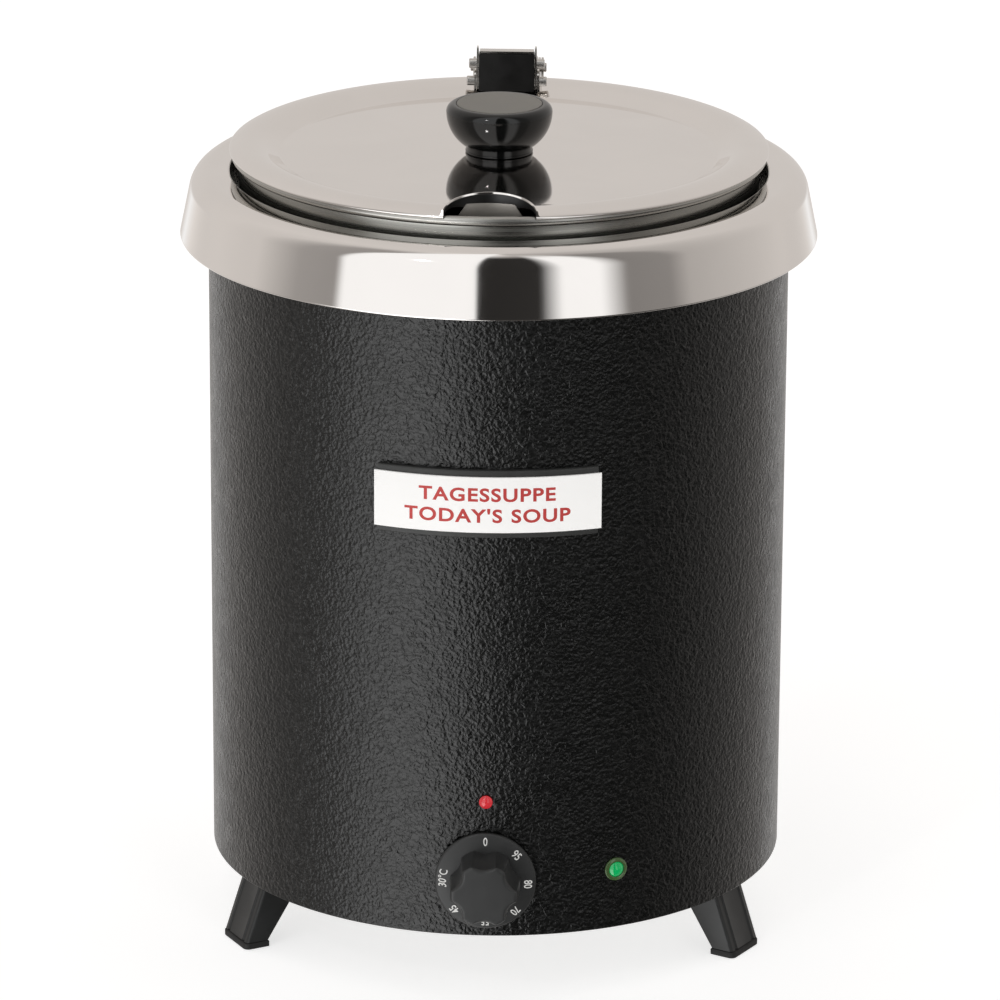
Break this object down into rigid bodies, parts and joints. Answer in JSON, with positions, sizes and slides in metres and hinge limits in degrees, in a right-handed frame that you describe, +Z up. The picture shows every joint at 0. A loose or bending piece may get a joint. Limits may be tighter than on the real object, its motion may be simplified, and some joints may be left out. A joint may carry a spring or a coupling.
{
  "type": "soup kettle",
  "caption": "Electric soup kettle: black textured drum with steel collar, water bath, lift-out pot, hinged steel lid with ladle notch and knob, thermostat dial, lamps and label.",
  "frame": {"origin": "on the floor under the middle of the kettle, at the bottom of its foot pads", "axes": "+Z up along the drum's axis, -Y towards the front with the dial, the label and the lid's ladle notch, +Y towards the hinge and the cord gland"},
  "size_m": [0.334, 0.3529, 0.4435],
  "materials": {
    "black_powder_coat": "black powder coat with a coarse orange-peel texture",
    "polished_steel": "polished stainless steel",
    "satin_steel": "fine satin stainless steel",
    "zinc_steel": "zinc plated steel",
    "black_leg_plastic": "moulded black plastic, fine grain",
    "foot_rubber": "black rubber",
    "gloss_black_plastic": "glossy black phenolic",
    "grey_cap_plastic": "satin grey plastic",
    "dial_plastic": "satin black plastic with printed white numbers",
    "grey_holder_plastic": "dark grey extruded plastic",
    "label_card": "white printed plate",
    "green_lens": "translucent green lens",
    "red_lens": "translucent red lens",
    "moulded_black_plastic": "moulded black plastic",
    "terminal_plastic": "pale moulded plastic",
    "mineral_wool": "loose mineral wool",
    "cast_aluminium": "pressed aluminium",
    "element_sheath": "oxidised steel sheath",
    "copper_bulb": "bare copper"
  },
  "bodies": {
    "housing": {"casing_shell": "black_powder_coat", "base_plate": "zinc_steel", "leg_right": "black_leg_plastic", "leg_rear": "black_leg_plastic", "leg_left": "black_leg_plastic", "foot_pad_right": "foot_rubber", "foot_pad_rear": "foot_rubber", "foot_pad_left": "foot_rubber", "leg_screw_right": "zinc_steel", "leg_screw_rear": "zinc_steel", "leg_screw_left": "zinc_steel", "collar_ring": "polished_steel", "collar_clip_1": "satin_steel", "collar_clip_2": "satin_steel", "collar_clip_3": "satin_steel", "water_bath": "satin_steel", "insulation_sleeve": "mineral_wool", "heat_spreader": "cast_aluminium", "heating_element": "element_sheath", "element_clamp": "zinc_steel", "clamp_stud": "zinc_steel", "clamp_nut": "zinc_steel", "sensor_bulb": "copper_bulb", "sensor_clip": "zinc_steel", "thermostat_body": "moulded_black_plastic", "thermostat_screw_left": "zinc_steel", "thermostat_screw_right": "zinc_steel", "pilot_lamp_lens": "green_lens", "pilot_lamp_body": "moulded_black_plastic", "pilot_lamp_nut": "zinc_steel", "heat_lamp_lens": "red_lens", "heat_lamp_body": "moulded_black_plastic", "label_holder": "grey_holder_plastic", "label_plate": "label_card", "cord_gland": "moulded_black_plastic", "gland_nut": "moulded_black_plastic", "terminal_block": "terminal_plastic", "earth_screw": "zinc_steel", "earth_nut": "zinc_steel"},
    "dial": {"dial_knob": "dial_plastic", "thermostat_shaft": "zinc_steel"},
    "pot": {"inner_pot": "satin_steel", "hinge_bracket": "satin_steel", "bracket_rivet_left": "satin_steel", "bracket_rivet_right": "satin_steel", "hinge_pin": "satin_steel"},
    "lid": {"lid_disc": "polished_steel", "lid_knob": "gloss_black_plastic", "knob_cap": "grey_cap_plastic", "knob_screw": "zinc_steel", "hinge_block": "gloss_black_plastic", "hinge_cover": "satin_steel", "hinge_plate_left": "satin_steel", "hinge_plate_right": "satin_steel", "hinge_link_left": "satin_steel", "hinge_link_right": "satin_steel", "upper_block_pin": "satin_steel", "lower_block_pin": "satin_steel", "block_screw_left": "zinc_steel", "block_screw_right": "zinc_steel"}
  },
  "joints": [
    {"name": "dial_turn", "type": "hinge", "parent": "housing", "child": "dial", "pos_m": [0, -0.1535, 0.068], "axis": [0, 1, 0], "range_deg": [0, 313]},
    {"name": "pot_lift", "type": "slide", "parent": "housing", "child": "pot", "axis": [0, 0, 1], "range_m": [0, 0.23]},
    {"name": "lid_hinge", "type": "hinge", "parent": "pot", "child": "lid", "pos_m": [0, 0.147, 0.424], "axis": [-1, 0, 0], "range_deg": [0, 100]}
  ]
}
